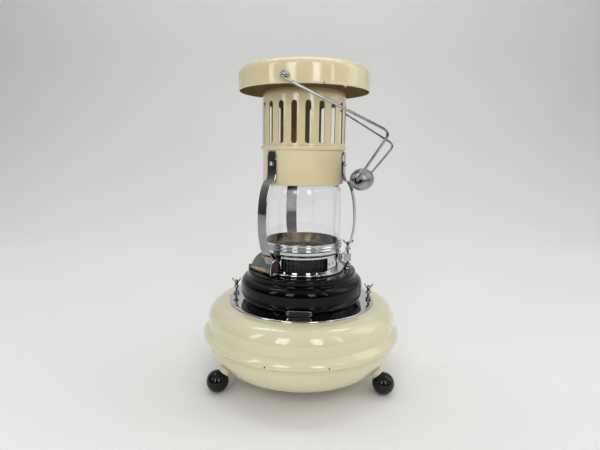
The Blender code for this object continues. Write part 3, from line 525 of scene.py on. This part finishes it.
def make_casing():
    centre = (50.2, 420.0)
    outer = [(49.2, 430.5)] + arc(centre, (10.5, 10.5), 90, 0, 14)
    outer += [(60.7, 412), (60.7, 356), (60.7, 353.4)] + flowing(
        [(60.8, 352.7), (61.9, 352.3), (62.9, 351.0), (63.2, 349), (62.9, 347.1), (61.6, 345.9), (60.3, 345.5)], 4)
    outer += [(60.0, 344.6), (60.0, 303)] + arc((57.0, 300.2), (3.0, 3.2), 0, -85, 7)
    # From turn on, the casing's inner faces get the dark enamel: painted shade inside the cage.
    turn = len(outer)
    inner = [(56.0, 297.6), (58.4, 300.4), (58.8, 303), (58.8, 346), (59.5, 352), (59.5, 356), (59.5, 412)]
    inner += arc(centre, (9.3, 9.3), 0, 90, 10) + [(49.2, 429.3)]
    shell = lathe("casing_shell", outer + inner, CREAM, 240, second=(turn, SHADE_ENAMEL))
    tools = []
    stadium = arc((408.0, 0), (4, 4), -90, 90, 10) + arc((359.0, 0), (4, 4), 90, 270, 10)
    for number in range(CASING_SLOTS):
        place = frame_at(Vector((0, 0, 0)), (0, 0, 1), radial(FRONT + 5 + number * 360 / CASING_SLOTS, 1))
        tools.append(slab(f"slot_tool_{number}", stadium, 50, 72, SHADE_ENAMEL, place, 0))
    fit(cut(shell, joined("slot_tools", *tools)), "cage", "cream_enamel", "slotted_casing")


def make_cap():
    outline = [(0, 463.5), (20, 463.45), (45, 463.2), (66, 462.7), (78, 462.2)] + arc((82.5, 450), (12, 12), 88, 0, 18)
    outline += [(94.5, 440), (94.5, 431.6)] + flowing([(94.6, 431.0), (95.1, 430.3), (95.2, 429.4), (94.9, 428.5)], 3)
    outline += [(94.2, 428.0), (93.3, 428.1)]
    # From turn on, the cap's underside gets the dark enamel: painted shade under the cap.
    turn = len(outline)
    outline += [(92.9, 428.6), (93.3, 430.4), (93.3, 440)] + arc((82.5, 450), (10.8, 10.8), 0, 88, 12)
    outline += [(66, 461.4), (45, 461.9), (20, 462.2), (0, 462.3)]
    fit(lathe("cap_shell", outline, CREAM, 220, second=(turn, SHADE_ENAMEL)), "cage", "cream_enamel", "cap")
    # The stays under the cap get the dark enamel too: painted shade.
    for number in (1, 2, 3):
        keep(f"cap_stay_{number}", SHADE_ENAMEL)
    tab_at = frame_at(radial(FRONT - 10, 88.6, 432.2) * MM, radial(FRONT + 80, 1), (0, 0, 1))
    tab = slab("cap_tab", [(-4.6, -3.6), (4.6, -3.6), (4.6, 2.4), (3.4, 3.4), (-3.4, 3.4), (-4.6, 2.4)], -3.6, -2.6,
               CREAM, tab_at, 0.3)
    fit(tab, "cage", "cream_enamel")
    out = radial(FRONT + 36, 1)
    place = frame_at(radial(FRONT + 36, 86.5, 429.5) * MM, (0, 0, 1), out)
    head = [(0, 5.2), (1.6, 5.0), (2.5, 4.0), (2.7, 2.6), (1.3, 2.4), (1.3, 0), (0, 0)]
    fit(lathe("cap_side_screw", head, CHROME, 28, place=place), "cage", "bright_plating")


def strap_line(foot_r):
    """The strap's middle line as (radius, height), from its screw at the casing to its riveted foot."""
    bow_r, bow_z, top_r = 79.2, 248.0, 61.25
    points = [(top_r, 344), (top_r, 336), (top_r, 328), (top_r, 320), (top_r, 313), (top_r + 0.7, 308)]
    for step in range(0, 29):
        turn = math.pi * step / 28
        if turn <= math.pi / 2:
            points.append((top_r + 2.2 + (bow_r - top_r - 2.2) * math.sin(turn),
                           304 + (bow_z - 304) * (1 - math.cos(turn))))
        else:
            points.append((foot_r + (bow_r - foot_r) * math.sin(turn) ** 1.15,
                           bow_z + (194 - bow_z) * -math.cos(turn)))
    return points + [(foot_r, 189), (foot_r, 184)]


def ribbon(name, line, width, thick, look, place):
    """A strip with rounded ends and eased edges. The line lies in the local XY plane and the width along Z."""
    section = [(-thick / 2, -width / 2 + 0.5), (-thick / 2 + 0.4, -width / 2), (thick / 2 - 0.4, -width / 2),
               (thick / 2, -width / 2 + 0.5), (thick / 2, width / 2 - 0.5), (thick / 2 - 0.4, width / 2),
               (-thick / 2 + 0.4, width / 2), (-thick / 2, width / 2 - 0.5)]
    points, faces = [], []
    for number, (x, y) in enumerate(line):
        before, after = line[max(number - 1, 0)], line[min(number + 1, len(line) - 1)]
        along = Vector((after[0] - before[0], after[1] - before[1])).normalized()
        across = Vector((-along.y, along.x))
        narrow = 0.72 if number in (0, len(line) - 1) else 1.0
        for offset, side in section:
            points.append(((x + across.x * offset) * MM, (y + across.y * offset) * MM, side * narrow * MM))
    sides = len(section)
    for number in range(len(line) - 1):
        for k in range(sides):
            a, b = number * sides + k, number * sides + (k + 1) % sides
            faces.append([a, b, b + sides, a + sides])
    faces += [list(range(sides))[::-1], list(range(len(points) - sides, len(points)))]
    return made_object(name, points, faces, [look], place)


def make_straps():
    for where, (angle, foot_r) in STRAPS.items():
        out = radial(angle, 1)
        aside = Vector((-out.y, out.x, 0))
        place = frame_at(Vector((0, 0, 0)), out, UP.cross(out) * -1)
        fit(ribbon(f"bowed_strap_{where}", strap_line(foot_r), STRAP_WIDTH, 1.5, SATIN, place), "cage",
            "bright_plating", f"strap_{where}")
        at = frame_at(Vector((0, 0, 327 * MM)) + out * 62.3 * MM, UP + 0.6 * aside, out)
        fit(dome_head(f"strap_head_{where}", 3.2, 2.6, CHROME, at, 0.9), "cage", "dull_steel", f"strap_screw_{where}")
        at = frame_at(Vector((0, 0, 188.5 * MM)) + out * (foot_r + 0.8) * MM, (0, 0, 1), out)
        fit(dome_head(f"strap_rivet_{where}", 2.4, 1.7, BRASS, at), "cage", "brass", f"foot_rivet_{where}")


# Cage hinge, latch and thumbscrews


def make_hinge_pin(place):
    pin = [(0, 42.5), (1.1, 42.3), (1.4, 41.8), (1.4, -21.0), (2.6, -21.1), (3.0, -21.5), (3.0, -22.6), (2.4, -24.2),
           (1.2, -25.0), (0, -25.1)]
    fit(lathe("hinge_rod", pin, STEEL, 32, place=place), "base", "dull_steel", "hinge_pin")
    winding = coil(lambda share: (2.2, (share - 0.5) * 30.0 + LEAF_MIDDLE), 26, 16)
    tail = [winding[-1] + Vector((-0.6, 1.2, 0.3)) * MM, winding[-1] + Vector((-2.6, 4.4, 0.4)) * MM]
    fit(wire("hinge_coil", winding + tail, 0.45, BRASS, place, 2), "base", "brass", "hinge_spring")


def make_hinge_leaf(out, along, place):
    """The half-round leaf that leans over the hinge, with its two knuckles and rivets."""
    lean = math.radians(20.0)
    upright = UP * math.cos(lean) - out * math.sin(lean)
    leaf_at = frame_at(place.translation + along * LEAF_MIDDLE * MM, along, along.cross(upright))
    half_round = [(26.8, 3.4)] + arc((0, 0), (27, 27), 8, 172, 44) + [(-26.8, 3.4)]
    parts = [slab("leaf_plate", half_round, -0.6, 0.6, SATIN, leaf_at, 0.3)]
    for number, (start, end) in enumerate(((-26.0, -16.2), (16.2, 26.0))):
        parts.append(slab(f"leaf_tab_{number}", rectangle(start, end, 1.9, 5.0), -0.8, 0.8, SATIN, leaf_at, 0.2))
        low, high = start + LEAF_MIDDLE, end + LEAF_MIDDLE
        ring = [(1.6, high), (2.3, high), (2.5, high - 0.2), (2.5, low + 0.2), (2.3, low), (1.6, low)]
        parts.append(lathe(f"leaf_knuckle_{number}", ring, SATIN, 32, place=place))
    fit(joined("leaning_leaf", *parts), "cage", "dull_steel", "hinge_leaf")
    for number, along_pin in enumerate((14.5, 7.5), 1):
        spot = place.translation + along * along_pin * MM + upright * 17.5 * MM / math.cos(lean)
        at = frame_at(spot, along, along.cross(upright) * -1) @ Matrix.Translation((0, 0, 0.7 * MM))
        fit(dome_head(f"leaf_head_{number}", 2.0, 1.5, BRASS, at), "cage", "brass", f"leaf_rivet_{number}")


def make_hinge_cheek(out, along, place):
    """The plate at the pin's front end, painted inside, with a bright edge."""
    low_z, top_z, out_x, in_x, corner = -3.0, 21.2, 4.2, -3.0, 12.0
    rim = [(out_x, low_z)] + arc((out_x - corner, top_z - corner), (corner, corner), 0, 75, 18)
    rim += [(in_x - 5.5, top_z - 2), (in_x - 5.5, 2.5), (in_x, 0.9)]
    spot = frame_at(place.translation + along * -20.3 * MM, out, out.cross(UP))
    plate = slab("cheek_panel", [(in_x, low_z)] + rim, -0.55, 0.55, OXIDE, spot, 0.2)
    edge = wire("cheek_edge", [spot @ (Vector((x, y, 0)) * MM) for x, y in rim[:-3]], 0.62, CHROME, None, 3)
    fit(joined("hinge_side", plate, edge), "base", "red_oxide", "hinge_cheek")


def make_hinge():
    out, along = radial(HINGE_ANGLE, 1), radial(HINGE_ANGLE - 90, 1)
    place = frame_at(out * 67.5 * MM + Vector((0, 0, 171.8 * MM)), out, along)
    make_hinge_pin(place)
    make_hinge_leaf(out, along, place)
    make_hinge_cheek(out, along, place)


def thumbscrew(name, place, low, high, shank_r, drop, spread, extra=()):
    """A threaded shank with a collar under two wings that spread upwards."""
    neck = high - drop
    shank = [(0, high - 2.6), (1.6, high - 2.8), (2.2, high - 3.6), (2.4, neck + 1), (2.9, neck)]
    shank += arc((3.2, neck - 1.3), (1.1, 1.2), 80, -70, 8) + [(shank_r + 0.4, neck - 2.8)]
    z = neck - 3.2
    while z > low + 1.2:
        shank += [(shank_r, z), (shank_r - 0.28, z - 0.35)]
        z -= 0.7
    shank += [(shank_r - 0.1, low + 0.6), (shank_r - 0.6, low), (0, low)]
    body = lathe(name + "_shank", shank, STEEL, 40, place=place)
    wing = mirrored(flowing([(0.6, 1.4), (2.2, 3.8), (4.0, 6.4), (spread - 0.9, drop - 3.4),
                             (spread + 0.1, drop - 1.4), (spread - 0.3, drop - 0.1), (spread - 1.6, drop - 0.5),
                             (spread * 0.5, drop - 3.2), (0.9, drop - 5.0)], 3))
    upright = place @ Matrix.Translation((0, 0, neck * MM)) @ Matrix.Rotation(math.radians(90), 4, "X")
    return joined(name, body, slab(name + "_wing", wing, -0.85, 0.85, STEEL, upright, 0.45), *extra)


def make_latch():
    place = frame_at(radial(LATCH_ANGLE, 70 * MM), radial(LATCH_ANGLE, 1), (0, 0, 1))
    post = [(3.4, 177), (4.5, 177), (4.8, 176.6), (4.9, 173), (5.3, 170), (5.7, 169.2), (5.7, 168.8), (3.4, 168.8)]
    fit(lathe("latch_boss", post, STEEL, 40, place=place), "base", "dull_steel", "latch_post")
    keep("latch_bracket", SATIN)
    fit(thumbscrew("latch_wing", place, 173, 213, 1.9, 12.0, 8.2), "latch_screw_body", "dull_steel", "latch_screw")


def make_disc_screws():
    hexagon = arc((0, 0), (4.3, 4.3), 10, 310, 5)
    for side, angle in (("right", -6.0), ("left", 174.0)):
        place = frame_at(radial(angle, 103 * MM), (1, 0, 0), (0, 0, 1))
        nut = slab(f"nut_{side}", hexagon, 122.2, 125.4, STEEL, place, 0.35)
        fit(thumbscrew(f"wing_screw_{side}", place, 122.4, 147, 2.0, 12.5, 7.0, (nut,)), f"screw_{side}",
            "dull_steel", f"thumbscrew_{side}")


# Wick knob and filler


def make_knob():
    shaft = frame_at(Vector((0, 0, 145 * MM)), (0, 0, 1), radial(60.0, 1))
    knob = [(0, 105.4), (6, 105.5), (10.5, 106.0), (12.2, 105.4), (13.2, 104.2), (13.3, 101), (13.0, 99.4),
            (10.4, 97.8), (6, 97.3), (0, 97.3)]
    flutes = lathe("fluted_knob", knob, PHENOLIC, 144, place=shaft,
                   wave=lambda angle, z: -0.45 * (0.5 + 0.5 * math.cos(24 * angle)) if z < 105.45 else 0.0)
    fit(flutes, "wick_knob_set", "black_knobs", "wick_knob")


def make_filler():
    lift = math.radians(55.0)
    out = radial(FILLER_ANGLE, math.cos(lift), math.sin(lift))
    (centre_r, centre_z), turn_r = SHOULDER_CENTRE, SHOULDER_RADIUS
    seat = radial(FILLER_ANGLE, centre_r + turn_r * math.cos(lift), centre_z + turn_r * math.sin(lift)) * MM
    place = frame_at(seat, (0, 0, 1), out)
    neck = [(8.5, 7), (9.7, 7), (10.0, 6.7), (10.0, 1.6), (10.6, 0.5), (13.0, -0.9), (8.5, -0.9)]
    fit(lathe("filler_spout", neck, TANK, 60, place=place), "base", "cream_enamel", "filler_neck")
    lid = [(0, 9.4), (7, 9.5), (10.6, 9.5), (12.0, 8.9), (12.5, 7.8), (12.5, 3.0), (12.2, 2.5), (10.3, 2.5),
           (10.3, 7.3), (0, 7.3)]
    knurl = lathe("knurled_lid", lid, CHROME, 216, place=place,
                  wave=lambda angle, z: 0.22 * math.cos(54 * angle) - 0.2 if 2.6 < z < 8.5 else 0.0)
    fit(knurl, "filler_cap_body", "bright_plating", "filler_cap")


# Handle and its coil grip


def bail_frame():
    """The handle's pivot line, with X to the right of the front and Z towards the near stud."""
    return frame_at(Vector((0, 0, PIVOT_HEIGHT * MM)), radial(PIVOT_ANGLE - 270, 1), radial(PIVOT_ANGLE, 1))


def bail_side(side):
    """One side of the handle, in millimetres: an eye round its stud, the corner, and the end at the grip."""
    twist = math.radians(0.0 if side > 0 else -5.0)
    leave = math.degrees(math.atan2(BAIL_CORNER[1], BAIL_CORNER[0])) - 90
    flat = arc((0, 0), (3.9, 3.9), leave - 262, leave, EYE_STEPS) + [BAIL_CORNER, BAIL_END]
    c, s = math.cos(twist), math.sin(twist)
    return [Vector((x * c - y * s, x * s + y * c, side * BAIL_HALF)) for x, y in flat]


def rounded(points, radius, steps=10):
    """The line with each of its corners turned, starting at radius from the corner."""
    path = [Vector(points[0])]
    for before, corner, after in zip(points, points[1:], points[2:]):
        start = corner + (before - corner).normalized() * radius
        end = corner + (after - corner).normalized() * radius
        for i in range(steps + 1):
            t = i / steps
            path.append(start * (1 - t) ** 2 + corner * 2 * t * (1 - t) + end * t ** 2)
    return path + [Vector(points[-1])]


def make_bail():
    near, far = bail_side(1), bail_side(-1)
    near_path, far_path = rounded(near[EYE_STEPS:], 10), rounded(far[EYE_STEPS:], 10)
    across = rounded([near_path[-2], near[-1], far[-1], far_path[-2]], 7)
    points = near[:EYE_STEPS] + near_path[:-1] + across[1:-1] + far_path[-2::-1] + far[EYE_STEPS - 1::-1]
    rod = wire("bail_rod", [p * MM for p in points], 1.7, STEEL, bail_frame(), 5)
    fit(rod, "bail", "dull_steel", "bail_wire")


def make_grip():
    """A wire wound into a barrel round the handle's bar, its turns evenly spaced along the barrel's surface."""
    near, far = bail_side(1)[-1], bail_side(-1)[-1]
    half, end_r, middle_r, steps = (near - far).length / 2 - 11, 3.8, 14.9, 360
    profile = [(end_r + (middle_r - end_r) * math.sin(t), half * math.cos(t))
               for t in (math.pi * i / steps for i in range(steps + 1))]
    reach = [0.0, *accumulate(math.dist(a, b) for a, b in zip(profile, profile[1:]))]

    def barrel(share):
        want = reach[-1] * share
        slot = bisect_left(reach, want, 1, steps) - 1
        part = (want - reach[slot]) / (reach[slot + 1] - reach[slot])
        (radius, height), (next_radius, next_height) = profile[slot], profile[slot + 1]
        return radius + (next_radius - radius) * part, height + (next_height - height) * part

    local = frame_at((near + far) / 2 * MM, (1, 0, 0), near - far)
    winding = coil(barrel, int(reach[-1] / 2.45), 26)
    fit(wire("wound_grip", winding, 0.95, STEEL, bail_frame() @ local, 2), "grip", "dull_steel", "coil_grip")


def make_bail_studs():
    stud = [(0, 103), (1.4, 102.9), (2.6, 102.5), (3.3, 101.9), (3.4, 101.5), (2.0, 101.5), (2.0, 96.2),
            (2.9, 95.7), (2.9, 94.8), (0, 94.8)]
    for name, side in (("near", 1), ("far", -1)):
        at = frame_at(Vector((0, 0, PIVOT_HEIGHT * MM)), (0, 0, 1), radial(PIVOT_ANGLE, side))
        fit(lathe(f"bail_stud_{name}", stud, STEEL, 36, place=at), "cage", "dull_steel", f"bail_rivet_{name}")


# Room, lights and camera


def make_room():
    """A floor that sweeps up into a wall behind the object. Metres."""
    half_width, front, bend, bend_radius, top = 3.2, -2.6, 1.1, 0.9, 3.2
    line = [(front, 0.0), (bend, 0.0)] + arc((bend, bend_radius), (bend_radius, bend_radius), -85, 0, 17)
    line.append((bend + bend_radius, top))
    points = [(x, y, z) for y, z in line for x in (-half_width, half_width)]
    faces = [[2 * i, 2 * i + 1, 2 * i + 3, 2 * i + 2] for i in range(len(line) - 1)]
    made_object("sweep", points, faces, [PAPER])


def make_world():
    """Soft light from all round: dark low in front, paler upwards, to the right and behind."""
    world = bpy.data.worlds.new("room")
    bpy.context.scene.world = world
    world.use_nodes = True
    tree = world.node_tree
    where = tree.nodes.new("ShaderNodeTexCoord")
    apart = tree.nodes.new("ShaderNodeSeparateXYZ")
    link(tree, where, "Generated", apart, "Vector")
    side = math_node(tree, "MULTIPLY_ADD", 0.4)
    link(tree, apart, "X", side, 0)
    link(tree, apart, "Y", side, 2)
    lift = math_node(tree, "MULTIPLY_ADD", 0.9)
    link(tree, apart, "Z", lift, 0)
    link(tree, side, "Value", lift, 2)
    fold = tree.nodes.new("ShaderNodeMapRange")
    settle(fold, {"From Min": -0.45, "From Max": 0.9})
    link(tree, lift, "Value", fold, "Value")
    ramp = tree.nodes.new("ShaderNodeValToRGB")
    ramp.color_ramp.elements[0].color = (0.012, 0.012, 0.013, 1.0)
    ramp.color_ramp.elements[1].color = (1.0, 1.0, 1.0, 1.0)
    link(tree, fold, "Result", ramp, "Fac")
    link(tree, ramp, "Color", tree.nodes["Background"], "Color")
    tree.nodes["Background"].inputs["Strength"].default_value = 0.74


def panel(name, azimuth, distance, height, size, radiance, target=(0.0, 0.0, 0.25)):
    """A rectangle of light. Azimuth is from the front, positive to the right."""
    made = bpy.data.lights.new(name, "AREA")
    made.shape = "RECTANGLE"
    made.size, made.size_y = size
    made.energy = radiance * math.pi * size[0] * size[1]
    turn = math.radians(azimuth)
    spot = Vector((distance * math.sin(turn), -distance * math.cos(turn), height))
    holder = bpy.data.objects.new(name, made)
    holder.location = spot
    holder.rotation_euler = (Vector(target) - spot).to_track_quat("-Z", "Y").to_euler()
    bpy.context.scene.collection.objects.link(holder)


def make_lights():
    panel("window_far_left", -56, 1.7, 1.05, (0.26, 1.15), 3.6)
    panel("window_left", -22, 1.7, 1.05, (0.44, 1.15), 4.6)
    panel("window_right", 19, 1.7, 1.05, (0.38, 1.15), 4.8)
    panel("window_far_right", 46, 1.7, 1.05, (0.10, 1.15), 4.6)
    panel("side_right", 88, 1.9, 1.3, (0.9, 1.4), 1.1)
    panel("wall_wash", 180, 0.5, 2.9, (3.4, 0.6), 5.0, (0.0, 2.0, 1.0))


def make_camera():
    lens = bpy.data.cameras.new("camera")
    lens.lens, lens.sensor_width = 27.0, 36.0
    lens.clip_start, lens.clip_end = 0.01, 50.0
    camera = bpy.data.objects.new("camera", lens)
    pitch, roll = (Matrix.Rotation(math.radians(turn), 4, axis) for turn, axis in ((80.91, "X"), (0.8, "Z")))
    camera.matrix_world = Matrix.Translation((-0.0037, -0.675, 0.342)) @ pitch @ roll
    bpy.context.scene.collection.objects.link(camera)
    bpy.context.scene.camera = camera


make_camera()
make_tank()
make_feet()
make_housing()
make_badge()
make_gallery()
make_burner()
make_glass()
make_casing()
make_cap()
make_straps()
make_hinge()
make_latch()
make_disc_screws()
make_knob()
make_filler()
make_bail()
make_grip()
make_bail_studs()
make_room()
make_world()
make_lights()
bpy.context.scene.view_settings.view_transform = "Standard"
